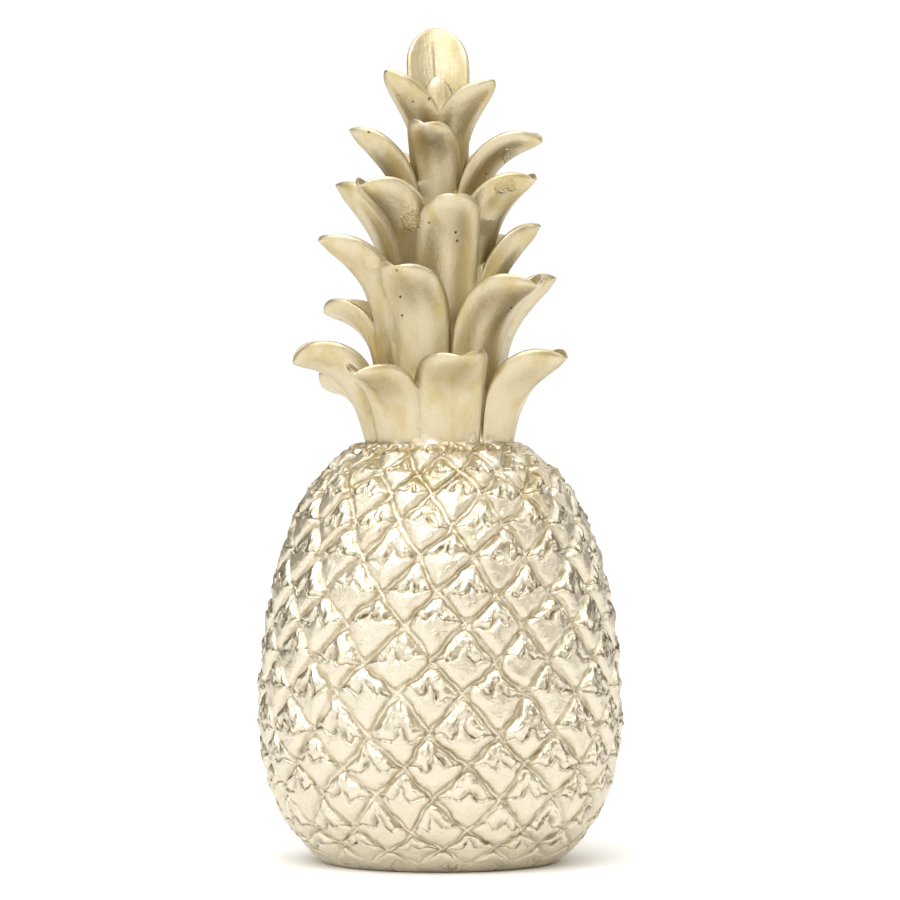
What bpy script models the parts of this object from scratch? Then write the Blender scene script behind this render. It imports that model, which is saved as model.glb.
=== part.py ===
"""Decorative pineapple: one hollow-cast resin ornament that stands on its flat underside.

Metres, +Z up. The origin is the centre of the underside and the front faces -Y. The body is a
turned form under a net of grooves with one raised scale in each diamond. The crown is a tapered
stem with five tiers of channelled leaves that curl outwards, all cast in one with the body.
"""

import math
from collections import namedtuple

import bmesh
import bpy
from mathutils import Matrix, Vector

MM = 0.001
TINY = 1e-4
OBJECT_NAME = "pineapple"

# Body outline, in millimetres: a belly radius, drawn in above and below it.
BELLY_RADIUS = 63.3
BELLY_HEIGHT = 48.8
UPPER_REACH = 97.8
UPPER_POWERS = (1.92, 3.24)
LOWER_REACH = 50.0
LOWER_POWERS = (1.58, 5.55)

# Net of grooves: corners of the diamonds lie in rows, each half a column round from the next.
COLUMNS = 17
ROW_HEIGHTS = (3.4, 8.7, 15, 26.3, 36.8, 47.8, 60.9, 71.9, 84, 94.5, 106.5, 117.3, 127.2, 134.5, 140.6)
FIRST_COLUMN_ANGLE = 6.9
LEAN_ABOVE = 14.2
LEAN_ABOVE_POWER = 1.7
LEAN_BELOW = 5.0
LEAN_BELOW_POWER = 1.15
LEAN_HEIGHTS = (65.0, 134.5)

# Scales: a raised diamond inside each mesh of the net, with a nub at its middle.
SCALE_INSET = 0.2
SCALE_RISE = 3.2
LOWER_RISE = 0.72
SIDE_RISE = 0.66
UPPER_RISE = 0.42
NUB_LIFT = 0.9
PLAIN_ROWS_AT_NECK = 0.6
PLAIN_ROWS_AT_FOOT = 1.0

# Plain rounded bands, as heights and radii: down to the flat underside, and up to the leaves.
FOOT_BAND = ((1.0, 41.2), (0.0, 38.6))
NECK_BAND = ((143.2, 27.0),)

# Stem of the crown, as heights and radii from inside the body to under the top leaves.
STEM_SIDES = 12
STEM = ((128.0, 25.4), (150.0, 24.4), (171.0, 19.0), (198.0, 14.0), (228.0, 8.6), (256.0, 4.0))

# Leaves: sides round the section and rings along the blade, and how the blade is thinned.
LEAF_SIDES = 8
LEAF_RINGS = 8
EDGE_SQUARENESS = 0.55
LEAF_THICKNESS = 3.4
TIP_THICKNESS = 2.4
FOOT_WIDTH_PART = 0.9
SOFT_TIP = (2.6, 0.62)
SQUARE_TIP = (7.0, 0.42)

# Parts of a leaf's length: rounding at its foot and its tip, and where its channel is deepest.
FOOT_ROUND = 0.05
TIP_ROUND = 0.085
CHANNEL_FULL = 0.7

# Handles of the curve along a leaf, as parts of its span.
LOWER_HANDLE = (0.06, 0.62)
UPPER_HANDLE = 0.40

Tier = namedtuple("Tier", "foot_height foot_reach cup shoulder leaves")
Leaf = namedtuple(
    "Leaf",
    "azimuth reach height rise lean half_width square cup roll",
    defaults=(0.45, None, 0.0),
)

# Each tier: where its leaves leave the stem, the angle through which each wing of a channel
# turns up, and how far along it starts to narrow. Each leaf: azimuth from the front in degrees,
# reach and height of the tip, rise of the tip above the horizontal in degrees, how far the tip
# leans to the side, half the width of the blade, how square its tip is from 0 to 1, its own
# angle for the wings, and how many degrees the tip is rolled.
TIERS = (
    Tier(
        foot_height=137.0,
        foot_reach=24.0,
        cup=78.0,
        shoulder=0.42,
        leaves=(
            Leaf(6, 43, 173.5, 34, 3, 11.8, 0.5, 60, -7),
            Leaf(60, 49.5, 173.0, 32, 0, 11.2),
            Leaf(118, 38, 167.0, 5, 0, 11.5),
            Leaf(170, 48, 170.0, 10, -3, 11.5),
            Leaf(-36, 46, 168.0, 20, -2, 10.6, 0.4, 66),
            Leaf(-81, 51, 171.0, 0, 0, 13.0),
            Leaf(-130, 52, 162.0, 0, 0, 12.0),
        ),
    ),
    Tier(
        foot_height=152.0,
        foot_reach=19.5,
        cup=74.0,
        shoulder=0.48,
        leaves=(
            Leaf(-22, 36, 204.0, 42, -2, 11.2, 0.7, 58, 8),
            Leaf(42, 49, 197.5, 20, 0, 11.5),
            Leaf(87, 40, 200.5, 45, 0, 11.0),
            Leaf(130, 41, 194.0, 20, 0, 11.0),
            Leaf(172, 44, 199.0, 25, 3, 11.0),
            Leaf(-148, 43, 196.0, 20, 0, 11.0),
            Leaf(-107, 42, 188.5, 8, 0, 10.8),
            Leaf(-67, 45, 213.0, 32, 0, 11.0),
        ),
    ),
    Tier(
        foot_height=170.0,
        foot_reach=15.5,
        cup=72.0,
        shoulder=0.55,
        leaves=(
            Leaf(9, 34, 228.0, 48, 0, 10.8, 0.25, 60),
            Leaf(57, 38.5, 233.5, 30, 0, 10.5, 0.6),
            Leaf(80, 35, 218.5, 50, 0, 8.8),
            Leaf(122, 32, 214.0, 35, 0, 10.5),
            Leaf(168, 36, 229.0, 40, 2, 11.0),
            Leaf(-136, 36, 222.0, 30, 0, 11.0),
            Leaf(-86, 36, 232.5, 50, 0, 11.5),
            Leaf(-47, 37, 231.5, 28, 0, 11.2, 0.6),
        ),
    ),
    Tier(
        foot_height=205.0,
        foot_reach=10.5,
        cup=72.0,
        shoulder=0.52,
        leaves=(
            Leaf(-8, 24, 252.5, 38, -2, 8.4, 0.7, 60, 10),
            Leaf(68, 37.5, 246.5, 12, 0, 9.0, 0.6),
            Leaf(128, 30, 243.0, 30, 0, 8.8),
            Leaf(180, 31, 251.0, 40, 0, 8.8),
            Leaf(-128, 29, 243.0, 30, 0, 8.8),
            Leaf(-76, 32, 251.0, 45, 0, 9.0),
        ),
    ),
    Tier(
        foot_height=232.0,
        foot_reach=6.0,
        cup=66.0,
        shoulder=0.50,
        leaves=(
            Leaf(-50, 24, 271.0, 60, 0, 8.4, 0.1),
            Leaf(46, 25, 267.5, 50, 0, 8.4, 0.1),
            Leaf(0, 2, 269.5, 90, -1, 5.4),
        ),
    ),
    Tier(
        foot_height=232.0,
        foot_reach=7.0,
        cup=40.0,
        shoulder=0.68,
        leaves=(Leaf(180, 13, 287.3, 76, 1.5, 10.6, 0.1),),
    ),
)

FINISH_COLOUR = (0.68, 0.60, 0.42, 1.0)
FINISH_ROUGHNESS = 0.35
FINISH_METALLIC = 0.9


def clear_scene():
    """Remove the startup objects."""
    for obj in list(bpy.data.objects):
        bpy.data.objects.remove(obj, do_unlink=True)


def new_collection(name):
    collection = bpy.data.collections.new(name)
    bpy.context.scene.collection.children.link(collection)
    return collection


def resin_finish():
    """Champagne metallic paint on cast resin."""
    material = bpy.data.materials.new("champagne_metallic_paint")
    material.use_nodes = True
    shader = material.node_tree.nodes["Principled BSDF"]
    shader.inputs["Base Color"].default_value = FINISH_COLOUR
    shader.inputs["Roughness"].default_value = FINISH_ROUGHNESS
    shader.inputs["Metallic"].default_value = FINISH_METALLIC
    return material


def body_radius(height):
    """Radius of the body over its scales, in millimetres."""
    if height > BELLY_HEIGHT:
        part = (height - BELLY_HEIGHT) / UPPER_REACH
        bend, drawn = UPPER_POWERS
    else:
        part = (BELLY_HEIGHT - height) / LOWER_REACH
        bend, drawn = LOWER_POWERS
    return BELLY_RADIUS * (1.0 - part**bend) ** (1.0 / drawn)


def row_height(row):
    """Height of a row of corners, read smoothly between whole rows."""
    last = len(ROW_HEIGHTS) - 1
    below = min(max(math.floor(row), 0), last - 1)
    part = row - below
    before = ROW_HEIGHTS[max(below - 1, 0)]
    start = ROW_HEIGHTS[below]
    end = ROW_HEIGHTS[below + 1]
    after = ROW_HEIGHTS[min(below + 2, last)]
    slope_in = (end - before) / 2.0
    slope_out = (after - start) / 2.0
    cube, square = part**3, part**2
    return (
        start * (2 * cube - 3 * square + 1)
        + slope_in * (cube - 2 * square + part)
        + end * (3 * square - 2 * cube)
        + slope_out * (cube - square)
    )


def lean(height):
    """How far the net is turned about the axis at a height, in degrees."""
    upright, top = LEAN_HEIGHTS
    if height > upright:
        return LEAN_ABOVE * ((height - upright) / (top - upright)) ** LEAN_ABOVE_POWER
    return LEAN_BELOW * ((upright - height) / upright) ** LEAN_BELOW_POWER


def scale_rise(across, up):
    """Height of a scale over the groove at its nub or at one corner of its raised diamond."""
    if abs(across) < TINY and abs(up) < TINY:
        return SCALE_RISE
    if abs(across) > abs(up):
        return SIDE_RISE * SCALE_RISE
    return (UPPER_RISE if up > 0.0 else LOWER_RISE) * SCALE_RISE


def body_point(column, row):
    """A point of the scaled surface, from its place in the net."""
    left = (column - row / 2.0 + TINY) % 1.0 - TINY
    right = (column + row / 2.0 + TINY) % 1.0 - TINY
    last_row = len(ROW_HEIGHTS) - 1
    ends = min(row / PLAIN_ROWS_AT_FOOT, (last_row - row) / PLAIN_ROWS_AT_NECK, 1.0)
    rise = 0.0
    lift = 0.0
    if left > TINY and right > TINY:
        across = left + right - 1.0
        up = right - left
        rise = scale_rise(across, up) * max(ends, 0.0)
        lift = NUB_LIFT * rise / SCALE_RISE
    height = row_height(row)
    radius = body_radius(height) - SCALE_RISE * max(ends, 0.0) + rise
    angle = math.radians(FIRST_COLUMN_ANGLE + column * 360.0 / COLUMNS + lean(height))
    place = Vector((radius * math.sin(angle), -radius * math.cos(angle), height + lift))
    return place * MM


def mesh_object(name, bm, collection):
    """Finish a bmesh as an object of its own."""
    bmesh.ops.recalc_face_normals(bm, faces=bm.faces)
    mesh = bpy.data.meshes.new(name)
    bm.to_mesh(mesh)
    bm.free()
    obj = bpy.data.objects.new(name, mesh)
    collection.objects.link(obj)
    return obj


def make_body(collection):
    """The net: a square grid turned to diamonds, trimmed to a strip, and wrapped round the body."""
    last_row = len(ROW_HEIGHTS) - 1
    scales = COLUMNS + last_row // 2 + 2
    bm = bmesh.new()
    bmesh.ops.create_grid(bm, x_segments=scales, y_segments=scales, size=scales / 2.0)
    raised = bm.faces[:]
    bmesh.ops.inset_individual(bm, faces=raised, thickness=SCALE_INSET)
    bmesh.ops.poke(bm, faces=raised)
    to_rows = Matrix(((0.5, 0.5, 0, 0), (-1, 1, 0, 0), (0, 0, 1, 0), (0, 0, 0, 1)))
    middle = Vector((COLUMNS / 2.0, last_row // 2 + 1, 0.0))
    bmesh.ops.transform(bm, matrix=Matrix.Translation(middle) @ to_rows, verts=bm.verts)
    edges = (
        ((0, 0, 0), (-1, 0, 0)),
        ((COLUMNS, 0, 0), (1, 0, 0)),
        ((0, 0, 0), (0, -1, 0)),
        ((0, last_row, 0), (0, 1, 0)),
    )
    for place, outwards in edges:
        bmesh.ops.bisect_plane(
            bm,
            geom=bm.verts[:] + bm.edges[:] + bm.faces[:],
            dist=1e-5,
            plane_co=place,
            plane_no=outwards,
            clear_outer=True,
        )
    for vert in bm.verts:
        vert.co = body_point(vert.co.x, vert.co.y)
    bmesh.ops.remove_doubles(bm, verts=bm.verts, dist=1e-5)
    close_body(bm)
    return mesh_object(OBJECT_NAME, bm, collection)


def close_body(bm):
    """Draw the net's two open edges in by the plain bands, and cap them."""
    open_edges = [edge for edge in bm.edges if edge.is_boundary]
    half_way = BELLY_HEIGHT * MM
    bottom = [edge for edge in open_edges if edge.verts[0].co.z < half_way]
    top = [edge for edge in open_edges if edge.verts[0].co.z > half_way]
    for rim, band in ((bottom, FOOT_BAND), (top, NECK_BAND)):
        for height, radius in band:
            grown = bmesh.ops.extrude_edge_only(bm, edges=rim)["geom"]
            for vert in (g for g in grown if isinstance(g, bmesh.types.BMVert)):
                flat = vert.co.xy.normalized() * radius * MM
                vert.co = (flat.x, flat.y, height * MM)
            rim = [g for g in grown if isinstance(g, bmesh.types.BMEdge)]
        bmesh.ops.contextual_create(bm, geom=rim)


def make_stem(collection):
    """The tapered stem that carries the leaves."""
    bm = bmesh.new()
    (low, wide), (high, narrow) = STEM[0], STEM[-1]
    bmesh.ops.create_cone(
        bm,
        cap_ends=True,
        segments=STEM_SIDES,
        radius1=wide * MM,
        radius2=narrow * MM,
        depth=(high - low) * MM,
        matrix=Matrix.Translation((0, 0, (high + low) / 2.0 * MM)),
    )
    for height, radius in STEM[1:-1]:
        cut = bmesh.ops.bisect_plane(
            bm,
            geom=bm.verts[:] + bm.edges[:] + bm.faces[:],
            dist=1e-6,
            plane_co=(0, 0, height * MM),
            plane_no=(0, 0, 1),
        )["geom_cut"]
        for vert in (g for g in cut if isinstance(g, bmesh.types.BMVert)):
            flat = vert.co.xy.normalized() * radius * MM
            vert.co = (flat.x, flat.y, vert.co.z)
    return mesh_object("stem", bm, collection)


def leaf_spine(tier, leaf, along):
    """Reach and height of the keel of a leaf, and the direction in which it runs."""
    foot = Vector((tier.foot_reach, tier.foot_height))
    tip = Vector((leaf.reach, leaf.height))
    span = tip - foot
    tip_run = Vector((math.cos(math.radians(leaf.rise)), math.sin(math.radians(leaf.rise))))
    lower = foot + Vector((LOWER_HANDLE[0] * span.x, LOWER_HANDLE[1] * span.y))
    upper = tip - tip_run * UPPER_HANDLE * span.length
    back = 1.0 - along
    point = (
        back**3 * foot
        + 3 * back**2 * along * lower
        + 3 * back * along**2 * upper
        + along**3 * tip
    )
    run = (
        3 * back**2 * (lower - foot)
        + 6 * back * along * (upper - lower)
        + 3 * along**2 * (tip - upper)
    )
    return point, run.normalized()


def leaf_section(tier, leaf, along):
    """Half width of the blade, and the angle through which each wing turns up from the keel."""
    taper = max(along - tier.shoulder, 0.0) / (1.0 - tier.shoulder)
    power, root = (
        soft + leaf.square * (square - soft) for soft, square in zip(SOFT_TIP, SQUARE_TIP)
    )
    closing = min(1.0, along / FOOT_ROUND) ** 0.5
    swell = FOOT_WIDTH_PART + (1.0 - FOOT_WIDTH_PART) * min(1.0, along / tier.shoulder)
    half_width = leaf.half_width * closing * swell * max(1.0 - taper**power, 0.0) ** root
    hug = min(1.0, FOOT_WIDTH_PART * leaf.half_width / (tier.foot_reach + LEAF_THICKNESS / 2.0))
    cup = math.radians(leaf.cup or tier.cup)
    foot_angle = min(math.asin(hug), cup)
    turned = min(1.0, along / CHANNEL_FULL)
    return half_width, foot_angle + (cup - foot_angle) * turned * turned * (3.0 - 2.0 * turned)


def leaf_point(tier, leaf, along, round_angle):
    """A point of the leaf's skin: a flattened ring, bent to a channel and set on the spine."""
    point, run = leaf_spine(tier, leaf, along)
    outwards = Vector((run.y, -run.x))
    cosine, sine = math.cos(round_angle), math.sin(round_angle)
    side = math.copysign(abs(cosine) ** EDGE_SQUARENESS, cosine)
    depth = math.copysign(abs(sine) ** EDGE_SQUARENESS, sine)
    half_width, wing_angle = leaf_section(tier, leaf, along)
    cup_radius = half_width / math.sin(wing_angle)
    full = LEAF_THICKNESS + (TIP_THICKNESS - LEAF_THICKNESS) * along
    ends = min(1.0, (1.0 - along) / TIP_ROUND, along / FOOT_ROUND) ** 0.5
    radius = cup_radius + depth * full * ends / 2.0
    flat = radius * math.sin(side * wing_angle)
    deep = radius * math.cos(side * wing_angle) - cup_radius
    roll = math.radians(leaf.roll) * along**2
    sideways = flat * math.cos(roll) - deep * math.sin(roll) + leaf.lean * along**2
    in_out = flat * math.sin(roll) + deep * math.cos(roll)
    reach = point.x + outwards.x * in_out
    height = point.y + outwards.y * in_out
    angle = math.radians(leaf.azimuth)
    radial = Vector((math.sin(angle), -math.cos(angle), 0.0))
    tangent = Vector((math.cos(angle), math.sin(angle), 0.0))
    return (radial * reach + tangent * sideways + Vector((0.0, 0.0, height))) * MM


def make_leaf(name, tier, leaf, collection):
    """A leaf from a sphere: its poles become foot and tip, its rings the flattened sections."""
    bm = bmesh.new()
    bmesh.ops.create_uvsphere(bm, u_segments=LEAF_SIDES, v_segments=LEAF_RINGS, radius=1.0)
    for vert in bm.verts:
        from_foot = math.acos(max(-1.0, min(1.0, -vert.co.z)))
        along = math.sin(from_foot / 2.0)
        round_angle = math.atan2(vert.co.y, vert.co.x)
        vert.co = leaf_point(tier, leaf, along, round_angle)
    return mesh_object(name, bm, collection)


def unite(obj, helpers):
    """Join the stem and the leaves to the body as one casting."""
    helpers.hide_render = True
    for helper in helpers.objects:
        helper.hide_render = True
        helper.display_type = "WIRE"
    modifier = obj.modifiers.new("cast_in_one", "BOOLEAN")
    modifier.operation = "UNION"
    modifier.operand_type = "COLLECTION"
    modifier.collection = helpers
    modifier.solver = "EXACT"
    modifier.use_self = True


def main():
    clear_scene()
    visible = new_collection(OBJECT_NAME)
    helpers = new_collection("crown_pieces")
    body = make_body(visible)
    make_stem(helpers)
    for level, tier in enumerate(TIERS, start=1):
        for count, leaf in enumerate(tier.leaves, start=1):
            make_leaf(f"leaf_{level}_{count}", tier, leaf, helpers)
    unite(body, helpers)
    body.data.materials.append(resin_finish())
    body.data.shade_smooth()
    body.data.set_sharp_from_angle(angle=math.radians(30))


main()
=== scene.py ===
"""Decorative pineapple: a hollow-cast resin ornament in satin champagne-gold metallic paint.

The net of scales, the stem and the leaves are worked out in millimetres from the same driving
sizes as the solid, with the relief that the solid leaves out, then made one casting.
"""

import functools
import math
import random
from collections import namedtuple

import bmesh
import bpy
import numpy as np
from mathutils import Matrix, Vector, bvhtree, noise


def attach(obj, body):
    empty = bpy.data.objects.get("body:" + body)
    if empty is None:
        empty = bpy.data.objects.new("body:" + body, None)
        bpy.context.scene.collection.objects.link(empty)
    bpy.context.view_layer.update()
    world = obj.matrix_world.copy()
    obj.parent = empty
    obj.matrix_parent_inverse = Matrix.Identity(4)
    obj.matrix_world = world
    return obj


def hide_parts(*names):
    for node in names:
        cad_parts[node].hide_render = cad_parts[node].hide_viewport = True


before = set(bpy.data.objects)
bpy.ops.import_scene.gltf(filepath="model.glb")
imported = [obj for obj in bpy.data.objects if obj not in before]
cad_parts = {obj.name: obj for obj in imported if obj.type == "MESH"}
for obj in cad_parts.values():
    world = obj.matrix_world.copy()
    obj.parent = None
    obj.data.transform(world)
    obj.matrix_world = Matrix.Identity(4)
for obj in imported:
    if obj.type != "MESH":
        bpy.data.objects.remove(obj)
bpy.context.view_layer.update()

# Camera: a long lens in front of the ornament, a little above the middle of its body and
# looking slightly down, as in the photograph.
CAMERA_PLACE = Vector((0.0034, -1.6, 0.168))
CAMERA_TARGET = Vector((0.0034, 0.0, 0.1414))
CAMERA_SENSOR = 36.0
VIEW_WIDTH = 0.3096

camera_data = bpy.data.cameras.new("camera")
camera_data.sensor_width = CAMERA_SENSOR
camera_data.lens = CAMERA_SENSOR * (CAMERA_TARGET - CAMERA_PLACE).length / VIEW_WIDTH
camera = bpy.data.objects.new("camera", camera_data)
camera.location = CAMERA_PLACE
camera.rotation_euler = (CAMERA_TARGET - CAMERA_PLACE).to_track_quat("-Z", "Y").to_euler()
bpy.context.scene.collection.objects.link(camera)
bpy.context.scene.camera = camera

# Body: an egg-shaped casting about 5 inches across. A net of fine raised lines runs round it
# in shallow valleys, and each diamond of the net is filled by one puffy scale. The mould was
# sculpted by hand, so no two scales are quite alike.
MM = 0.001
TINY = 1e-4
CUT_TOLERANCE = 1e-5

BELLY_RADIUS = 63.3
BELLY_HEIGHT = 48.8
UPPER_REACH = 97.8
UPPER_POWERS = (1.92, 3.24)
LOWER_REACH = 50.0
LOWER_POWERS = (1.58, 5.55)

COLUMNS = 17
ROW_HEIGHTS = (
    3.4, 8.7, 15, 26.3, 36.8, 47.8, 60.9, 71.9,
    84, 94.5, 106.5, 117.3, 127.2, 134.5, 140.6, 144.2,
)
LAST_ROW = len(ROW_HEIGHTS) - 1
FIRST_COLUMN_ANGLE = 6.9
LEAN_ABOVE = 14.2
LEAN_ABOVE_POWER = 1.7
LEAN_BELOW = 5.0
LEAN_BELOW_POWER = 1.15
LEAN_HEIGHTS = (65.0, 134.5)

CELLS_PER_SCALE = 22
EDGE_CELLS_PART = 0.42
BELLY_SCALE_SIDE = 16.6
SCALE_RISE = 3.9
SMALLEST_RISE_PART = 0.5
FOOT_FADE_ROWS = 0.8
NECK_FADE_ROWS = 0.5
NECK_LUMP_ROWS = 1.5
NECK_LUMP_RISE = 1.5

LINE_RISE = 0.5
LINE_HALF_WIDTH = 0.36
STEP_EDGES = (0.3, 0.75)
STEP_PART = 0.38
SHOULDER = 4.2
PUFFINESS = 2.4
CORNER_RADIUS = 2.8
PLAINER_ROWS = (7.0, 12.0)
PLAINER_PART = 0.75
HALF_DIAGONAL = 11.8

# Each pair is how far the sculptor's hand strays, in millimetres, and how fast, per millimetre.
HAND_DRIFTS = ((2.4, 0.06), (1.0, 0.24), (0.3, 0.6))
UPWARD_DRIFT_PART = 0.7
SCALE_LIFT = 0.8

# Vector noise starts from the clock unless it is seeded, and each run would cast other scales.
HAND_SEED = 17
noise.seed_set(HAND_SEED)


def body_radius(height):
    """Radius of the body over its scales."""
    if height > BELLY_HEIGHT:
        part = (height - BELLY_HEIGHT) / UPPER_REACH
        bend, drawn = UPPER_POWERS
    else:
        part = (BELLY_HEIGHT - height) / LOWER_REACH
        bend, drawn = LOWER_POWERS
    return BELLY_RADIUS * (1.0 - part**bend) ** (1.0 / drawn)


def row_height(row):
    """Height of a row of corners, read smoothly between whole rows."""
    below = min(max(math.floor(row), 0), LAST_ROW - 1)
    part = row - below
    before = ROW_HEIGHTS[max(below - 1, 0)]
    start = ROW_HEIGHTS[below]
    end = ROW_HEIGHTS[below + 1]
    after = ROW_HEIGHTS[min(below + 2, LAST_ROW)]
    slope_in = (end - before) / 2.0
    slope_out = (after - start) / 2.0
    cube, square = part**3, part**2
    return (
        start * (2 * cube - 3 * square + 1)
        + slope_in * (cube - 2 * square + part)
        + end * (3 * square - 2 * cube)
        + slope_out * (cube - square)
    )


def lean(height):
    """How far the net is turned about the axis at a height, in degrees."""
    upright, top = LEAN_HEIGHTS
    if height > upright:
        return LEAN_ABOVE * ((height - upright) / (top - upright)) ** LEAN_ABOVE_POWER
    return LEAN_BELOW * ((upright - height) / upright) ** LEAN_BELOW_POWER


def ease(value):
    """0 below 0, 1 above 1, and smooth between."""
    value = min(max(value, 0.0), 1.0)
    return value * value * (3.0 - 2.0 * value)


def bump_at(distance, width):
    """A rounded rise of height 1 that has gone at about twice its width."""
    return math.exp(-((distance / width) ** 2))


Character = namedtuple(
    "Character", "lip slant peak peak_place dips lobes pockets fullness folds places number"
)


@functools.cache
def scale_character(column, row):
    """How one scale differs from the next, from where it is in the net."""
    chance = random.Random(1000 * row + column)
    return Character(
        lip=chance.gauss(0.02, 0.06),
        slant=chance.gauss(0.0, 0.12),
        peak=chance.uniform(0.20, 0.55),
        peak_place=chance.gauss(0.0, 0.07),
        dips=(chance.uniform(0.05, 0.22), chance.uniform(0.05, 0.22)),
        lobes=(chance.uniform(0.75, 1.15), chance.uniform(0.75, 1.15)),
        pockets=(chance.uniform(0.1, 1.0), chance.uniform(0.1, 1.0)),
        fullness=chance.uniform(0.88, 1.0),
        folds=chance.uniform(17.0, 26.0),
        places=Vector((chance.uniform(0, 50), chance.uniform(0, 50), chance.uniform(0, 50))),
        number=chance.uniform(0, 90),
    )


def lip_height(kind, across):
    """Where the tongue's lip runs: a bracket with two dips and a peak between them."""
    off = across - kind.peak_place
    side = 0 if off < 0.0 else 1
    dip = kind.dips[side] * (0.5 - 0.5 * math.cos(min(abs(off) / 0.62, 1.0) * 2.0 * math.pi))
    return kind.lip + kind.slant * off + kind.peak * math.exp(-abs(off) / 0.09) - dip


def scale_relief(kind, across, up, from_edge, size, plain, place):
    """Rise of a scale, as a part of the full rise, with where on the scale the point is.

    The lower half is a smooth tongue up to its lip. Above a crease stand two puffy lobes, wrinkled
    in a fan from the top corner, with a thin stem and two pockets between them. Places and widths
    are parts of the scale's half diagonal, and rises are parts of the full rise.
    """
    wander = noise.noise_vector(place * 0.17 + kind.places)
    across += 0.10 * wander.x
    up += 0.09 * wander.y
    off = across - kind.peak_place
    side = 0 if off < 0.0 else 1
    above = up - lip_height(kind, across)
    over_lip = ease(above / 0.07 + 0.5)

    climb = ease((up + 1.0) / (1.0 + kind.lip))
    tongue = 0.80 + 0.14 * climb + 0.08 * bump_at(above + 0.035, 0.05)
    dents = noise.noise(place * 0.20 + kind.places) + 0.6 * noise.noise(place * 0.48)
    tongue += (0.15 + 0.03 * plain) * dents

    stem = bump_at(off, 0.055) * ease((1.0 - up) / 0.2)
    pocket = bump_at(abs(off) - 0.17, 0.10) * bump_at(above - 0.14, 0.11)
    crease = bump_at(above - 0.055, 0.045) * (1.0 - 0.7 * stem)
    belly = math.sin(math.pi * min(abs(off) / 0.75, 1.0))
    fan = math.atan2(off, 1.15 - up)
    away = math.hypot(off, 1.15 - up)
    folds = math.sin(fan * kind.folds + 1.8 * noise.noise(place * 0.25 + kind.places))
    broad = math.sin(fan * kind.folds * 0.43 + 2.4 * wander.z)
    lobe = 0.58 + 0.14 * kind.lobes[side] * belly + 0.30 * kind.lobes[side] * min(away / 1.2, 1.0)
    lobe += plain * (0.86 - lobe)
    lobe += 0.10 * stem - 0.28 * crease - 0.55 * pocket * kind.pockets[side]
    lobe += 0.16 * noise.noise(place * 0.42 + kind.places)
    lobe += ease(away / 0.5) * (0.06 * folds + 0.06 * broad)

    step = ease((from_edge - STEP_EDGES[0]) / (STEP_EDGES[1] - STEP_EDGES[0]))
    reach = min(max((from_edge - STEP_EDGES[0]) / (SHOULDER * size), 0.0), 1.0)
    swell = STEP_PART * step + (1.0 - STEP_PART) * (1.0 - (1.0 - reach) ** PUFFINESS)
    rise = kind.fullness * swell * (tongue + (lobe - tongue) * over_lip)
    fan_place = (fan * HALF_DIAGONAL, away * HALF_DIAGONAL, kind.number)
    # The shade is painted shade for the pockets and the crease over the lip.
    shade = min(1.0, 1.2 * pocket * kind.pockets[side] + 0.5 * crease) * over_lip
    return rise, shade, above * HALF_DIAGONAL, over_lip * ease(reach * 2.8), fan_place


def spread(cell):
    """Draws the cells together along the net's lines, where the relief is finest."""
    return cell - EDGE_CELLS_PART * math.sin(2.0 * math.pi * cell) / (2.0 * math.pi)


def inside_pillow(left, right, size):
    """How far in from the outline of a square with rounded corners, in millimetres."""
    corner = CORNER_RADIUS * size
    side = BELLY_SCALE_SIDE * size
    over_left = abs(left) * side - (side / 2.0 - corner)
    over_right = abs(right) * side - (side / 2.0 - corner)
    outside = math.hypot(max(over_left, 0.0), max(over_right, 0.0))
    return corner - outside - min(max(over_left, over_right), 0.0)


def skin_point(column, row):
    """A point of the body's skin, and what the paint needs to know of its place on its scale."""
    left = column - row / 2.0
    right = column + row / 2.0
    left_cell = math.floor(left + TINY)
    right_cell = math.floor(right + TINY)
    left_part = spread(max(left - left_cell, 0.0))
    right_part = spread(max(right - right_cell, 0.0))
    column = (left_cell + left_part + right_cell + right_part) / 2.0
    row = right_cell + right_part - left_cell - left_part

    height = row_height(row)
    radius = body_radius(height)
    turn = math.radians(FIRST_COLUMN_ANGLE + column * 360.0 / COLUMNS + lean(height))
    place = Vector((radius * math.sin(turn), -radius * math.cos(turn), height))

    size = min(1.0, radius / BELLY_RADIUS)
    ends = max(min(row / FOOT_FADE_ROWS, (LAST_ROW - row) / NECK_FADE_ROWS, 1.0), 0.0)
    depth = SCALE_RISE * ends * (SMALLEST_RISE_PART + (1.0 - SMALLEST_RISE_PART) * size)
    sides = (left_part, 1.0 - left_part, right_part, 1.0 - right_part)
    nearest = min(sides) * BELLY_SCALE_SIDE * size
    rounded = inside_pillow(left_part - 0.5, right_part - 0.5, size)
    line = LINE_RISE * bump_at(nearest, LINE_HALF_WIDTH) * (0.9 + 0.9 * noise.noise(place * 0.3))
    kind = scale_character(right_cell - left_cell, (left_cell + right_cell) % (2 * COLUMNS))
    across = left_part + right_part - 1.0
    up = right_part - left_part
    plain = PLAINER_PART * ease((row - PLAINER_ROWS[0]) / (PLAINER_ROWS[1] - PLAINER_ROWS[0]))
    rise, shade, above, lobe, fan = scale_relief(kind, across, up, rounded, size, plain, place)
    lumps = ease((row - LAST_ROW + NECK_LUMP_ROWS) / NECK_LUMP_ROWS) * noise.noise(place * 0.38)
    out = radius - depth * (1.0 - rise) + line * ends + NECK_LUMP_RISE * lumps

    drift = Vector((0.0, 0.0, 0.0))
    for far, fineness in HAND_DRIFTS:
        drift += far * noise.noise_vector(place * fineness)
    turn += drift.x * ends / radius
    height += UPWARD_DRIFT_PART * drift.y * ends + SCALE_LIFT * ends * rise**2
    point = Vector((out * math.sin(turn), -out * math.cos(turn), height))
    return point, shade * ends, Vector((nearest, above, lobe)), Vector(fan)


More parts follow.
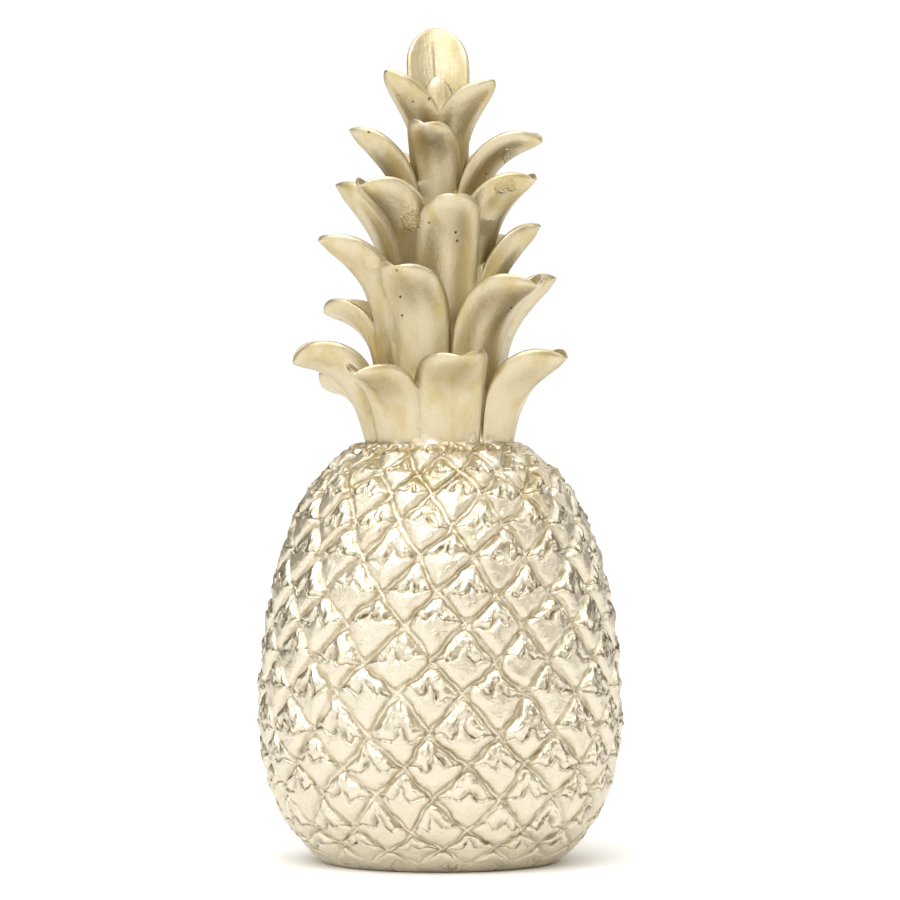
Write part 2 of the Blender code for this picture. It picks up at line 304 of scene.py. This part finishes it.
def new_object(name, bm):
    """Turn a bmesh in millimetres into an object in metres."""
    bm.normal_update()
    bmesh.ops.recalc_face_normals(bm, faces=bm.faces)
    bmesh.ops.scale(bm, vec=(MM, MM, MM), verts=bm.verts)
    mesh = bpy.data.meshes.new(name)
    bm.to_mesh(mesh)
    bm.free()
    mesh.shade_smooth()
    made = bpy.data.objects.new(name, mesh)
    bpy.context.scene.collection.objects.link(made)
    return made


def scaled_skin():
    """The net: a square grid turned to diamonds, trimmed to a strip, and wrapped round the body."""
    scales = COLUMNS + LAST_ROW // 2 + 2
    bm = bmesh.new()
    shade = bm.verts.layers.float.new("shade")
    on_scale = bm.verts.layers.float_vector.new("on_scale")
    fan = bm.verts.layers.float_vector.new("fan")
    cells = scales * CELLS_PER_SCALE
    bmesh.ops.create_grid(bm, x_segments=cells, y_segments=cells, size=scales / 2.0)
    to_rows = Matrix(((0.5, 0.5, 0, 0), (-1, 1, 0, 0), (0, 0, 1, 0), (0, 0, 0, 1)))
    middle = Vector((COLUMNS / 2.0, LAST_ROW // 2 + 1, 0.0))
    bmesh.ops.transform(bm, matrix=Matrix.Translation(middle) @ to_rows, verts=bm.verts)
    trims = (
        ((0, 0, 0), (-1, 0, 0)),
        ((COLUMNS, 0, 0), (1, 0, 0)),
        ((0, 0, 0), (0, -1, 0)),
        ((0, LAST_ROW, 0), (0, 1, 0)),
    )
    for place, outwards in trims:
        bmesh.ops.bisect_plane(
            bm,
            geom=bm.verts[:] + bm.edges[:] + bm.faces[:],
            dist=CUT_TOLERANCE,
            plane_co=place,
            plane_no=outwards,
            clear_outer=True,
        )
    for vert in bm.verts:
        vert.co, vert[shade], vert[on_scale], vert[fan] = skin_point(vert.co.x, vert.co.y)
    bmesh.ops.remove_doubles(bm, verts=bm.verts, dist=0.01)
    return bm


FOOT_BAND = ((2.6, 43.7), (1.6, 42.4), (0.5, 40.8), (0.0, 38.6), (0.0, 30.0))
NECK_BAND = ((144.6, 23.0),)


def close_skin(bm):
    """Draw the skin's two open edges in, down to the flat underside and up to the stem."""
    open_edges = [edge for edge in bm.edges if edge.is_boundary]
    bottom = [edge for edge in open_edges if edge.verts[0].co.z < BELLY_HEIGHT]
    top = [edge for edge in open_edges if edge.verts[0].co.z > BELLY_HEIGHT]
    for rim, band in ((bottom, FOOT_BAND), (top, NECK_BAND)):
        for height, radius in band:
            grown = bmesh.ops.extrude_edge_only(bm, edges=rim)["geom"]
            for vert in (g for g in grown if isinstance(g, bmesh.types.BMVert)):
                flat = vert.co.xy.normalized() * radius
                vert.co = (flat.x, flat.y, height)
            rim = [g for g in grown if isinstance(g, bmesh.types.BMEdge)]
        bmesh.ops.contextual_create(bm, geom=rim)


skin = scaled_skin()
close_skin(skin)
casting = new_object("pineapple_casting", skin)

# Stem: the resin core of the crown, cast with the leaves and hidden but for glimpses between
# them. It draws in from the neck to the bud, and each pair below is a height and a radius.
STEM_SIDES = 48
STEM = (
    (128.0, 25.4),
    (150.0, 24.4),
    (171.0, 19.0),
    (198.0, 14.0),
    (206.0, 10.9),
    (213.0, 8.8),
    (231.0, 7.4),
    (238.0, 4.6),
    (256.0, 3.6),
)


def stem_core():
    """A cone cut into rings, each ring drawn to its own radius."""
    bm = bmesh.new()
    (low, wide), (high, narrow) = STEM[0], STEM[-1]
    bmesh.ops.create_cone(
        bm,
        cap_ends=True,
        segments=STEM_SIDES,
        radius1=wide,
        radius2=narrow,
        depth=high - low,
        matrix=Matrix.Translation((0, 0, (high + low) / 2.0)),
    )
    for height, radius in STEM[1:-1]:
        cut = bmesh.ops.bisect_plane(
            bm,
            geom=bm.verts[:] + bm.edges[:] + bm.faces[:],
            dist=TINY,
            plane_co=(0, 0, height),
            plane_no=(0, 0, 1),
        )["geom_cut"]
        for vert in (g for g in cut if isinstance(g, bmesh.types.BMVert)):
            flat = vert.co.xy.normalized() * radius
            vert.co = (flat.x, flat.y, vert.co.z)
    return new_object("stem", bm)


# Leaves: six tiers of thick channelled blades that stand against the stem and curl outwards at
# their blunt tips. They were cast with the stem, and their edges are rounded over.
LEAF_SIDES = 20
LEAF_RINGS = 36
EDGE_SQUARENESS = 0.55
LEAF_THICKNESS = 3.4
TIP_THICKNESS = 2.4
FOOT_WIDTH_PART = 0.9
SOFT_TIP = (2.6, 0.62)
SQUARE_TIP = (7.0, 0.42)
FOOT_ROUND = 0.05
FOOT_THINNING = 0.24
TIP_ROUND = 0.085
CHANNEL_FULL = 0.7
LOWER_HANDLE = (0.06, 0.62)
UPPER_HANDLE = 0.40

Tier = namedtuple("Tier", "foot_height foot_reach cup shoulder leaves")
Leaf = namedtuple(
    "Leaf",
    "azimuth reach height rise lean half_width square cup roll",
    defaults=(0.45, None, 0.0),
)

TIERS = (
    Tier(
        foot_height=137.0,
        foot_reach=24.0,
        cup=78.0,
        shoulder=0.42,
        leaves=(
            Leaf(6, 43, 173.5, 34, 3, 11.8, 0.5, 60, -7),
            Leaf(60, 49.5, 173.0, 32, 0, 11.2),
            Leaf(118, 38, 167.0, 5, 0, 11.5),
            Leaf(170, 48, 170.0, 10, -3, 11.5),
            Leaf(-36, 46, 168.0, 20, -2, 10.6, 0.4, 66),
            Leaf(-81, 51, 171.0, 0, 0, 13.0),
            Leaf(-130, 52, 162.0, 0, 0, 12.0),
        ),
    ),
    Tier(
        foot_height=152.0,
        foot_reach=19.5,
        cup=74.0,
        shoulder=0.48,
        leaves=(
            Leaf(-22, 36, 204.0, 42, -2, 11.2, 0.7, 58, 8),
            Leaf(42, 49, 197.5, 20, 0, 11.5),
            Leaf(87, 40, 200.5, 45, 0, 11.0),
            Leaf(130, 41, 194.0, 20, 0, 11.0),
            Leaf(172, 44, 199.0, 25, 3, 11.0),
            Leaf(-148, 43, 196.0, 20, 0, 11.0),
            Leaf(-107, 42, 188.5, 8, 0, 10.8),
            Leaf(-67, 45, 213.0, 32, 0, 11.0),
        ),
    ),
    Tier(
        foot_height=170.0,
        foot_reach=15.5,
        cup=72.0,
        shoulder=0.55,
        leaves=(
            Leaf(9, 34, 228.0, 48, 0, 10.8, 0.25, 60),
            Leaf(57, 38.5, 233.5, 30, 0, 10.5, 0.6),
            Leaf(80, 35, 218.5, 50, 0, 8.8),
            Leaf(122, 32, 214.0, 35, 0, 10.5),
            Leaf(168, 36, 229.0, 40, 2, 11.0),
            Leaf(-136, 36, 222.0, 30, 0, 11.0),
            Leaf(-86, 36, 232.5, 50, 0, 11.5),
            Leaf(-47, 37, 231.5, 28, 0, 11.2, 0.6),
        ),
    ),
    Tier(
        foot_height=205.0,
        foot_reach=10.5,
        cup=72.0,
        shoulder=0.52,
        leaves=(
            Leaf(-8, 24, 252.5, 38, -2, 8.4, 0.7, 60, 10),
            Leaf(68, 37.5, 246.5, 12, 0, 9.0, 0.6),
            Leaf(128, 30, 243.0, 30, 0, 8.8),
            Leaf(180, 31, 251.0, 40, 0, 8.8),
            Leaf(-128, 29, 243.0, 30, 0, 8.8),
            Leaf(-76, 32, 251.0, 45, 0, 9.0),
        ),
    ),
    Tier(
        foot_height=232.0,
        foot_reach=6.0,
        cup=66.0,
        shoulder=0.50,
        leaves=(
            Leaf(-50, 24, 271.0, 60, 0, 8.4, 0.1),
            Leaf(46, 25, 267.5, 50, 0, 8.4, 0.1),
            Leaf(0, 2, 269.5, 90, -1, 5.4),
        ),
    ),
    Tier(
        foot_height=232.0,
        foot_reach=7.0,
        cup=40.0,
        shoulder=0.68,
        leaves=(Leaf(180, 13, 287.3, 76, 1.5, 10.6, 0.1),),
    ),
)


def leaf_spine(tier, leaf, along):
    """Reach and height of the keel of a leaf, and the direction in which it runs."""
    foot = Vector((tier.foot_reach, tier.foot_height))
    tip = Vector((leaf.reach, leaf.height))
    span = tip - foot
    tip_run = Vector((math.cos(math.radians(leaf.rise)), math.sin(math.radians(leaf.rise))))
    lower = foot + Vector((LOWER_HANDLE[0] * span.x, LOWER_HANDLE[1] * span.y))
    upper = tip - tip_run * UPPER_HANDLE * span.length
    back = 1.0 - along
    point = (
        back**3 * foot
        + 3 * back**2 * along * lower
        + 3 * back * along**2 * upper
        + along**3 * tip
    )
    run = (
        3 * back**2 * (lower - foot)
        + 6 * back * along * (upper - lower)
        + 3 * along**2 * (tip - upper)
    )
    return point, run.normalized()


def leaf_section(tier, leaf, along):
    """Half width of the blade, and the angle through which each wing turns up from the keel."""
    taper = max(along - tier.shoulder, 0.0) / (1.0 - tier.shoulder)
    power, root = (
        soft + leaf.square * (square - soft) for soft, square in zip(SOFT_TIP, SQUARE_TIP)
    )
    closing = min(1.0, along / FOOT_ROUND) ** 0.5
    swell = FOOT_WIDTH_PART + (1.0 - FOOT_WIDTH_PART) * min(1.0, along / tier.shoulder)
    half_width = leaf.half_width * closing * swell * max(1.0 - taper**power, 0.0) ** root
    hug = min(1.0, FOOT_WIDTH_PART * leaf.half_width / (tier.foot_reach + LEAF_THICKNESS / 2.0))
    cup = math.radians(leaf.cup or tier.cup)
    foot_angle = min(math.asin(hug), cup)
    turned = min(1.0, along / CHANNEL_FULL)
    return half_width, foot_angle + (cup - foot_angle) * turned * turned * (3.0 - 2.0 * turned)


def leaf_point(tier, leaf, along, round_angle):
    """A point of the leaf's skin: a flattened ring, bent to a channel and set on the spine."""
    point, run = leaf_spine(tier, leaf, along)
    outwards = Vector((run.y, -run.x))
    cosine, sine = math.cos(round_angle), math.sin(round_angle)
    side = math.copysign(abs(cosine) ** EDGE_SQUARENESS, cosine)
    depth = math.copysign(abs(sine) ** EDGE_SQUARENESS, sine)
    half_width, wing_angle = leaf_section(tier, leaf, along)
    cup_radius = half_width / math.sin(wing_angle)
    full = LEAF_THICKNESS + (TIP_THICKNESS - LEAF_THICKNESS) * along
    ends = min(1.0, (1.0 - along) / TIP_ROUND, along / FOOT_THINNING) ** 0.5
    radius = cup_radius + depth * full * ends / 2.0
    flat = radius * math.sin(side * wing_angle)
    deep = radius * math.cos(side * wing_angle) - cup_radius
    roll = math.radians(leaf.roll) * along**2
    sideways = flat * math.cos(roll) - deep * math.sin(roll) + leaf.lean * along**2
    in_out = flat * math.sin(roll) + deep * math.cos(roll)
    reach = point.x + outwards.x * in_out
    height = point.y + outwards.y * in_out
    angle = math.radians(leaf.azimuth)
    radial = Vector((math.sin(angle), -math.cos(angle), 0.0))
    tangent = Vector((math.cos(angle), math.sin(angle), 0.0))
    place = radial * reach + tangent * sideways + Vector((0.0, 0.0, height))
    return place, side * half_width


def cast_leaf(number, tier, leaf):
    """A leaf from a sphere: its poles become foot and tip, its rings the flattened sections."""
    bm = bmesh.new()
    blade = bm.verts.layers.float_vector.new("blade")
    bmesh.ops.create_uvsphere(bm, u_segments=LEAF_SIDES, v_segments=LEAF_RINGS, radius=1.0)
    length = leaf.height - tier.foot_height + leaf.reach - tier.foot_reach
    for vert in bm.verts:
        from_foot = math.acos(max(-1.0, min(1.0, -vert.co.z)))
        along = math.sin(from_foot / 2.0)
        round_angle = math.atan2(vert.co.y, vert.co.x)
        vert.co, across = leaf_point(tier, leaf, along, round_angle)
        vert[blade] = Vector((across, along * length, number))
    return new_object(f"leaf_{number}", bm)


crown = bpy.data.collections.new("crown_pieces")
bpy.context.scene.collection.children.link(crown)
parts = [stem_core()]
for tier in TIERS:
    for leaf in tier.leaves:
        parts.append(cast_leaf(len(parts), tier, leaf))
for part in parts:
    bpy.context.scene.collection.objects.unlink(part)
    crown.objects.link(part)

# One casting: body, stem and leaves come out of the mould in one piece, so their skins are
# joined and what lies inside is taken away. The mesh is thinned to under 200,000 triangles,
# past which the export would thin it.
MOST_TRIANGLES = 196000


def make_real(made):
    """Make what the modifiers show the object's own mesh."""
    bpy.context.view_layer.update()
    graph = bpy.context.evaluated_depsgraph_get()
    made.data = bpy.data.meshes.new_from_object(
        made.evaluated_get(graph), preserve_all_data_layers=True, depsgraph=graph
    )
    made.modifiers.clear()


join = casting.modifiers.new("one_casting", "BOOLEAN")
join.operation = "UNION"
join.operand_type = "COLLECTION"
join.collection = crown
join.solver = "MANIFOLD"
make_real(casting)
for part in parts:
    bpy.data.objects.remove(part, do_unlink=True)
bpy.data.collections.remove(crown)

triangles = sum(len(face.vertices) - 2 for face in casting.data.polygons)
even_out = casting.modifiers.new("even_out", "DECIMATE")
even_out.ratio = min(1.0, MOST_TRIANGLES / triangles)
make_real(casting)
casting.data.shade_smooth()

HOLLOW_ROUNDS = 2
SHARPEST_BEND = 2.0
SHORTEST_SQUARED = 0.01


def mark_hollows(mesh):
    """Store how sharply the skin bends at each point: above 0 in creases, below 0 on ridges."""
    count = len(mesh.vertices)
    points = np.empty(count * 3)
    mesh.vertices.foreach_get("co", points)
    points = points.reshape(-1, 3) / MM
    normals = np.empty(count * 3)
    mesh.vertex_normals.foreach_get("vector", normals)
    normals = normals.reshape(-1, 3)
    ends = np.empty(len(mesh.edges) * 2, dtype=np.int64)
    mesh.edges.foreach_get("vertices", ends)
    start, end = ends.reshape(-1, 2).T
    step = points[end] - points[start]
    squared = np.maximum((step**2).sum(axis=1), SHORTEST_SQUARED)
    number = np.bincount(start, minlength=count) + np.bincount(end, minlength=count)
    bend = np.bincount(start, (step * normals[start]).sum(axis=1) * 2 / squared, count)
    bend -= np.bincount(end, (step * normals[end]).sum(axis=1) * 2 / squared, count)
    bend = np.clip(bend / number, -SHARPEST_BEND, SHARPEST_BEND)
    for _ in range(HOLLOW_ROUNDS):
        near = np.bincount(start, bend[end], count) + np.bincount(end, bend[start], count)
        bend = 0.5 * bend + 0.5 * near / number
    mesh.attributes.new("hollow", "FLOAT", "POINT").data.foreach_set("value", bend)


SHELTER_RAYS = 14
SHELTER_REACH = 16.0
SHELTER_LIFT = 0.05
GOLDEN_TURN = math.pi * (3.0 - math.sqrt(5.0))


def mark_shelter(mesh):
    """Store how much of what each point faces is close by: painted shade darkens the paint there.
    """
    tree = bvhtree.BVHTree.FromPolygons(
        [vert.co for vert in mesh.vertices], [face.vertices for face in mesh.polygons]
    )
    rays = []
    for number in range(SHELTER_RAYS):
        rise = math.sqrt(1.0 - (number + 0.5) / SHELTER_RAYS)
        turn = number * GOLDEN_TURN
        flat = math.sqrt(1.0 - rise * rise)
        rays.append(Vector((flat * math.cos(turn), flat * math.sin(turn), rise)))
    reach = SHELTER_REACH * MM
    shelter = []
    for vert in mesh.vertices:
        normal = vert.normal
        to_skin = normal.to_track_quat("Z", "Y").to_matrix()
        start = vert.co + normal * SHELTER_LIFT * MM
        hidden = 0.0
        for ray in rays:
            found = tree.ray_cast(start, to_skin @ ray, reach)[3]
            if found is not None:
                hidden += 1.0 - found / reach
        shelter.append(hidden / SHELTER_RAYS)
    mesh.attributes.new("shelter", "FLOAT", "POINT").data.foreach_set("value", shelter)


mark_hollows(casting.data)
mark_shelter(casting.data)
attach(casting, "root")
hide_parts("pineapple")


# Paint: champagne-gold metallic paint, sprayed over the resin, with painted shade laid into its
# hollows and painted highlight along its ridges. It gives a satin sheen, with small bright glints
# on the puffed scales and a duller, warmer gold between the leaves from patina and painted shade.
BODY_GOLD = "#DFD7C5"
LEAF_GOLD = "#CFC3A4"
VALLEY_SHADE = "#9A875F"
LOBE_ROUGHNESS = 0.32
SATIN_ROUGHNESS = 0.44
CROWN_STARTS = (145.0, 148.0)
GILDED_HEIGHTS = (95.0, 142.0)
SHELTER_SHADE_ON_BODY = 0.2
SHELTER_SHADE_ON_LEAVES = 0.38


def linear(hex_colour):
    """An sRGB hex value as a linear colour with alpha."""
    shares = [int(hex_colour[i : i + 2], 16) / 255.0 for i in (1, 3, 5)]
    curve = [p / 12.92 if p <= 0.04045 else ((p + 0.055) / 1.055) ** 2.4 for p in shares]
    return (*curve, 1.0)


paint = bpy.data.materials.new("champagne_metallic_paint")
paint.use_nodes = True
tree = paint.node_tree
shader = tree.nodes["Principled BSDF"]


def add(kind, inputs, out=0, **settings):
    """Add a node with its settings, give its inputs values or links, and return an output."""
    node = tree.nodes.new(kind)
    for name, value in settings.items():
        setattr(node, name, value)
    for socket, value in inputs.items():
        if isinstance(value, bpy.types.NodeSocket):
            tree.links.new(value, node.inputs[socket])
        else:
            node.inputs[socket].default_value = value
    return node.outputs[out]


def sums(operation, first, second=0.0):
    """One step of arithmetic."""
    return add("ShaderNodeMath", {0: first, 1: second}, operation=operation)


def away_from(value, middle):
    """How far a value is from a middle one, either way."""
    return sums("ABSOLUTE", sums("SUBTRACT", value, middle))


def between(value, low, high):
    """0 where the value is at low, 1 where it is at high, and smooth between."""
    inputs = {"Value": value, "From Min": low, "From Max": high}
    return add("ShaderNodeMapRange", inputs, interpolation_type="SMOOTHSTEP")


def grain(place, across, along, deep, detail, distortion=0.0):
    """Noise whose grains are the given millimetres across, along and deep."""
    per_grain = {0: place, 1: (1.0 / across, 1.0 / along, 1.0 / deep)}
    stretched = add("ShaderNodeVectorMath", per_grain, operation="MULTIPLY")
    inputs = {"Vector": stretched, "Scale": 1.0, "Detail": detail, "Distortion": distortion}
    return add("ShaderNodeTexNoise", inputs)


def tinted(amount, under, over):
    """Mix one colour over another."""
    inputs = {0: amount, 6: under, 7: over}
    return add("ShaderNodeMix", inputs, out=2, data_type="RGBA")


def stored(name, out="Fac"):
    """What the casting stores at each point."""
    return add("ShaderNodeAttribute", {}, out=out, attribute_name=name)


def three_parts(vector):
    """The three parts of a vector."""
    return add("ShaderNodeSeparateXYZ", {0: vector}).node.outputs


in_metres = add("ShaderNodeTexCoord", {}, out="Object")
here = add("ShaderNodeVectorMath", {0: in_metres, "Scale": 1.0 / MM}, operation="SCALE")
level = three_parts(here)[2]
hollow = stored("hollow")
shelter = stored("shelter")
fan = stored("fan", out="Vector")
blade = stored("blade", out="Vector")
from_line, over_lip, lobe = three_parts(stored("on_scale", out="Vector"))
across_blade, along_blade, leaf_number = three_parts(blade)
on_leaf = sums("MAXIMUM", sums("MINIMUM", leaf_number, 1.0), between(level, *CROWN_STARTS))
on_body = sums("SUBTRACT", 1.0, on_leaf)

# The sculptor's marks on the scales: the fine line with painted shade beside it, the lip with
# painted shade under it, folds and dents.
clouds = grain(here, 7.0, 7.0, 7.0, 2.0)
line = sums("MULTIPLY", between(from_line, 0.55, 0.1), on_body)
beside_line = sums("MULTIPLY", between(from_line, 1.0, 0.7), between(from_line, 0.35, 0.6))
beside_line = sums("MULTIPLY", sums("MULTIPLY", beside_line, on_body), clouds)
lip = sums("MULTIPLY", between(away_from(over_lip, 0.0), 0.55, 0.1), on_body)
under_lip = between(away_from(over_lip, 0.75), 0.45, 0.1)
under_lip = sums("MULTIPLY", under_lip, between(from_line, 1.2, 2.0))
wrinkles = between(away_from(grain(fan, 3.0, 7.0, 1.0, 1.0, 0.5), 0.5), 0.0, 0.15)
crumples = between(away_from(grain(here, 3.6, 3.6, 3.6, 1.0, 0.4), 0.5), 0.0, 0.10)
hammered = sums("MULTIPLY", grain(here, 1.6, 1.6, 1.6, 2.0), between(on_leaf, 2.0, 0.0))
fine_grain = sums("MULTIPLY", grain(here, 0.4, 0.4, 0.4, 1.0), between(lobe, 1.0, 0.3))

# The marks on the leaves: brushed streaks, crumbly patches, and the pinholes that air bubbles
# leave. The top leaf has a groove a little off its middle.
CRUMBLY_SPOTS = (
    (24.4, 241.5, 3.0),
    (20.5, 230.6, 2.0),
    (24.0, 231.6, 2.0),
    (-9.6, 219.8, 3.5),
)
CRUMBLY_WANDER = 2.5
FRONT_PINHOLES = ((5.3, 215.4), (5.8, 212.6), (-14.5, 202.4), (-13.4, 193.7), (-12.9, 187.4))
FRONT_PINHOLE_RADII = (0.5, 0.25)
PINHOLE_SPACING = 8.0
PINHOLE_RADII = (0.6, 0.35)
TOP_LEAF = 33
GROOVE_OFF_MIDDLE = 0.6
GROOVE_HALF_WIDTHS = (1.3, 0.2)
GROOVE_ENDS = (58.0, 48.0)

streaks = sums("MULTIPLY", grain(blade, 0.8, 11.0, 1.0, 3.0), on_leaf)
brushed = sums("MULTIPLY", grain(blade, 0.45, 2.4, 1.0, 2.0, 0.6), on_leaf)
upright = add("ShaderNodeVectorMath", {0: here, 1: (1.0, 0.0, 1.0)}, operation="MULTIPLY")


def from_spot(x, z):
    """How far a point is from a spot on the front, in millimetres."""
    ends = {0: upright, 1: (x, 0.0, z)}
    return add("ShaderNodeVectorMath", ends, out="Value", operation="DISTANCE")


patches = between(shelter, 0.70, 0.90)
for x, z, radius in CRUMBLY_SPOTS:
    wander = sums("MULTIPLY", grain(here, 1.5, 1.5, 1.5, 1.0), CRUMBLY_WANDER)
    off = sums("ADD", from_spot(x, z), wander)
    patches = sums("MAXIMUM", patches, between(off, radius + 1.6, radius + 0.6))
patches = sums("MULTIPLY", patches, on_leaf)
grit = sums("MULTIPLY", grain(here, 0.6, 0.6, 0.6, 2.0), patches)

bubbles = {"Vector": here, "Scale": 1.0 / PINHOLE_SPACING}
bubble = add("ShaderNodeTexVoronoi", bubbles, out="Distance")
chance = three_parts(bubble.node.outputs["Color"])[0]
holes = between(bubble, *(radius / PINHOLE_SPACING for radius in PINHOLE_RADII))
holes = sums("MULTIPLY", sums("MULTIPLY", holes, on_leaf), between(chance, 0.52, 0.54))
for x, z in FRONT_PINHOLES:
    holes = sums("MAXIMUM", holes, between(from_spot(x, z), *FRONT_PINHOLE_RADII))
groove = between(away_from(across_blade, GROOVE_OFF_MIDDLE), *GROOVE_HALF_WIDTHS)
groove = sums("MULTIPLY", groove, between(leaf_number, TOP_LEAF - 1.5, TOP_LEAF - 0.5))
groove = sums("MULTIPLY", groove, between(along_blade, *GROOVE_ENDS))

# How far each mark stands out of the skin, in millimetres.
marks = (
    (sums("MULTIPLY", wrinkles, lobe), 0.09),
    (streaks, 0.10),
    (brushed, 0.09),
    (holes, -0.3),
    (groove, -0.28),
    (lip, 0.20),
    (grit, 0.38),
    (line, 0.10),
    (sums("MULTIPLY", crumples, on_body), 0.07),
    (clouds, 0.06),
    (hammered, 0.10),
    (fine_grain, 0.04),
)
height = 0.0
for mark, rise in marks:
    height = sums("ADD", height, sums("MULTIPLY", mark, rise))

# The coats of colour, each laid over the last with its strength. The flakes of the real paint
# are under 0.1 mm, and are drawn as coarse as 0.35 mm so that they show.
gilded = sums("MAXIMUM", on_leaf, between(level, *GILDED_HEIGHTS))
patina = sums("MULTIPLY", between(grain(here, 7.0, 7.0, 14.0, 3.0), 0.44, 0.68), gilded)
shelter_shade = {"Value": on_leaf, "To Min": SHELTER_SHADE_ON_BODY, "To Max": SHELTER_SHADE_ON_LEAVES}
shelter_shade = add("ShaderNodeMapRange", shelter_shade)
coats = (
    (between(clouds, 0.35, 0.70), 0.30, "#D2C9B3"),
    # Painted shade in the creases, where the skin bends inwards.
    (between(hollow, 0.04, 0.40), 0.16, "#AC9B76"),
    # Painted shade in the thin valleys beside the net's lines, and under each tongue's lip.
    (beside_line, 0.30, VALLEY_SHADE),
    (under_lip, 0.45, VALLEY_SHADE),
    # Painted highlight along the raised net lines and the lips.
    (sums("MAXIMUM", line, lip), 0.65, "#ECE6D6"),
    # Painted shade in the lobes' pockets and the crease over the lip.
    (stored("shade"), 0.7, "#7D6A44"),
    # Deeper painted shade in the sharpest creases, and painted highlight on the ridges.
    (between(hollow, 0.50, 1.40), 0.6, "#6B5935"),
    (between(hollow, -0.10, -0.60), 0.5, "#E4DDCA"),
    # Painted shade in the pits of the crumbly patches.
    (sums("MULTIPLY", between(grit, 0.75, 0.35), patches), 0.32, "#8A7440"),
    # Painted shade inside the pinholes.
    (holes, 0.9, "#4A3C22"),
    (patina, 0.45, "#B9A564"),
    # Painted shade where nearby skin hides the sky: between the leaves and deep in the valleys.
    (between(shelter, 0.15, 0.75), shelter_shade, "#9C8A4C"),
    (between(grain(here, 0.35, 0.35, 0.35, 1.0), 0.50, 0.70), 0.18, "#8F7C50"),
)
colour = tinted(on_leaf, linear(BODY_GOLD), linear(LEAF_GOLD))
for coat, strength, tint in coats:
    colour = tinted(sums("MULTIPLY", coat, strength), colour, linear(tint))

satin = sums("MAXIMUM", on_leaf, sums("SUBTRACT", 1.0, lobe))
satin = {"Value": satin, "To Min": LOBE_ROUGHNESS, "To Max": SATIN_ROUGHNESS}
roughness = add("ShaderNodeMapRange", satin)
bump = add("ShaderNodeBump", {"Distance": MM, "Height": height})
tree.links.new(colour, shader.inputs["Base Color"])
tree.links.new(roughness, shader.inputs["Roughness"])
tree.links.new(bump, shader.inputs["Normal"])
shader.inputs["Metallic"].default_value = 1.0
casting.data.materials.clear()
casting.data.materials.append(paint)

# Studio: a plain floor of matte white paper and a white surround, with large soft lights above
# and at both sides. They give the paint its broad soft highlights and pale sides.
FLOOR_RADIUS = 6.0
floor_mesh = bpy.data.meshes.new("floor")
floor_bm = bmesh.new()
bmesh.ops.create_circle(floor_bm, cap_ends=True, segments=96, radius=FLOOR_RADIUS)
floor_bm.to_mesh(floor_mesh)
floor_bm.free()
floor = bpy.data.objects.new("floor", floor_mesh)
bpy.context.scene.collection.objects.link(floor)
floor_paint = bpy.data.materials.new("matte_white_paper")
floor_paint.use_nodes = True
floor_shader = floor_paint.node_tree.nodes["Principled BSDF"]
floor_shader.inputs["Base Color"].default_value = linear("#FCFCFC")
floor_shader.inputs["Roughness"].default_value = 0.9
floor_mesh.materials.append(floor_paint)

surround = bpy.data.worlds.new("studio")
surround.use_nodes = True
tree = surround.node_tree
aim = add("ShaderNodeTexCoord", {}, out="Generated")


def towards(direction):
    """How nearly a ray from the surround comes from a direction, up to 1."""
    inputs = {0: aim, 1: direction}
    return add("ShaderNodeVectorMath", inputs, out=1, operation="DOT_PRODUCT")


# The room behind the camera is dimmer and warmer, and a dark flag stands at each side: where
# it is, where its edge starts, and how much light it takes. The backdrop itself stays white.
WHITE = linear("#FFFFFF")
WARM = linear("#EDDCB0")
RIGHT_FLAG = ((0.93, 0.33, 0.15), 0.78, 0.82)
LEFT_FLAG = ((-0.93, 0.33, 0.1), 0.35, 0.78)
BACKDROP_STRENGTH = 1.05
facing = towards((-0.85, 0.5, 0.1))
falloff = {"Value": facing, "From Min": -0.95, "From Max": -0.15, "To Min": 0.32, "To Max": 1.08}
brightness = add("ShaderNodeMapRange", falloff)
tone = tinted(between(facing, -0.9, -0.1), WARM, WHITE)
for direction, start, darkness in (RIGHT_FLAG, LEFT_FLAG):
    flag = sums("MULTIPLY", between(towards(direction), start, 0.92), darkness)
    brightness = sums("MULTIPLY", brightness, sums("SUBTRACT", 1.0, flag))
    tone = tinted(flag, tone, WARM)
backdrop = add("ShaderNodeLightPath", {}, out="Is Camera Ray")
brightness = add("ShaderNodeMix", {0: backdrop, 2: brightness, 3: BACKDROP_STRENGTH})
tone = tinted(backdrop, tone, WHITE)
tree.links.new(tone, tree.nodes["Background"].inputs["Color"])
tree.links.new(brightness, tree.nodes["Background"].inputs["Strength"])
bpy.context.scene.world = surround
bpy.context.scene.view_settings.view_transform = "Standard"


def soft_box(name, place, target, width, depth, watts):
    """A rectangular soft light aimed at a point."""
    lamp = bpy.data.lights.new(name, "AREA")
    lamp.shape = "RECTANGLE"
    lamp.size = width
    lamp.size_y = depth
    lamp.energy = watts
    holder = bpy.data.objects.new(name, lamp)
    holder.location = place
    holder.rotation_euler = (Vector(target) - Vector(place)).to_track_quat("-Z", "Y").to_euler()
    bpy.context.scene.collection.objects.link(holder)


soft_box("overhead_box", (-0.3, -0.9, 1.5), (0, 0, 0.12), 1.6, 0.9, 12)
soft_box("left_box", (-1.3, -0.5, 0.6), (0, 0, 0.14), 0.9, 1.4, 2.5)
soft_box("right_box", (1.4, -0.2, 0.8), (0, 0, 0.12), 0.4, 1.0, 4)

dome = bpy.data.lights.new("dome", "SUN")
dome.energy = 1.2
dome.angle = math.radians(110)
dome_holder = bpy.data.objects.new("dome", dome)
dome_holder.rotation_euler = (math.radians(18), math.radians(-10), 0)
bpy.context.scene.collection.objects.link(dome_holder)
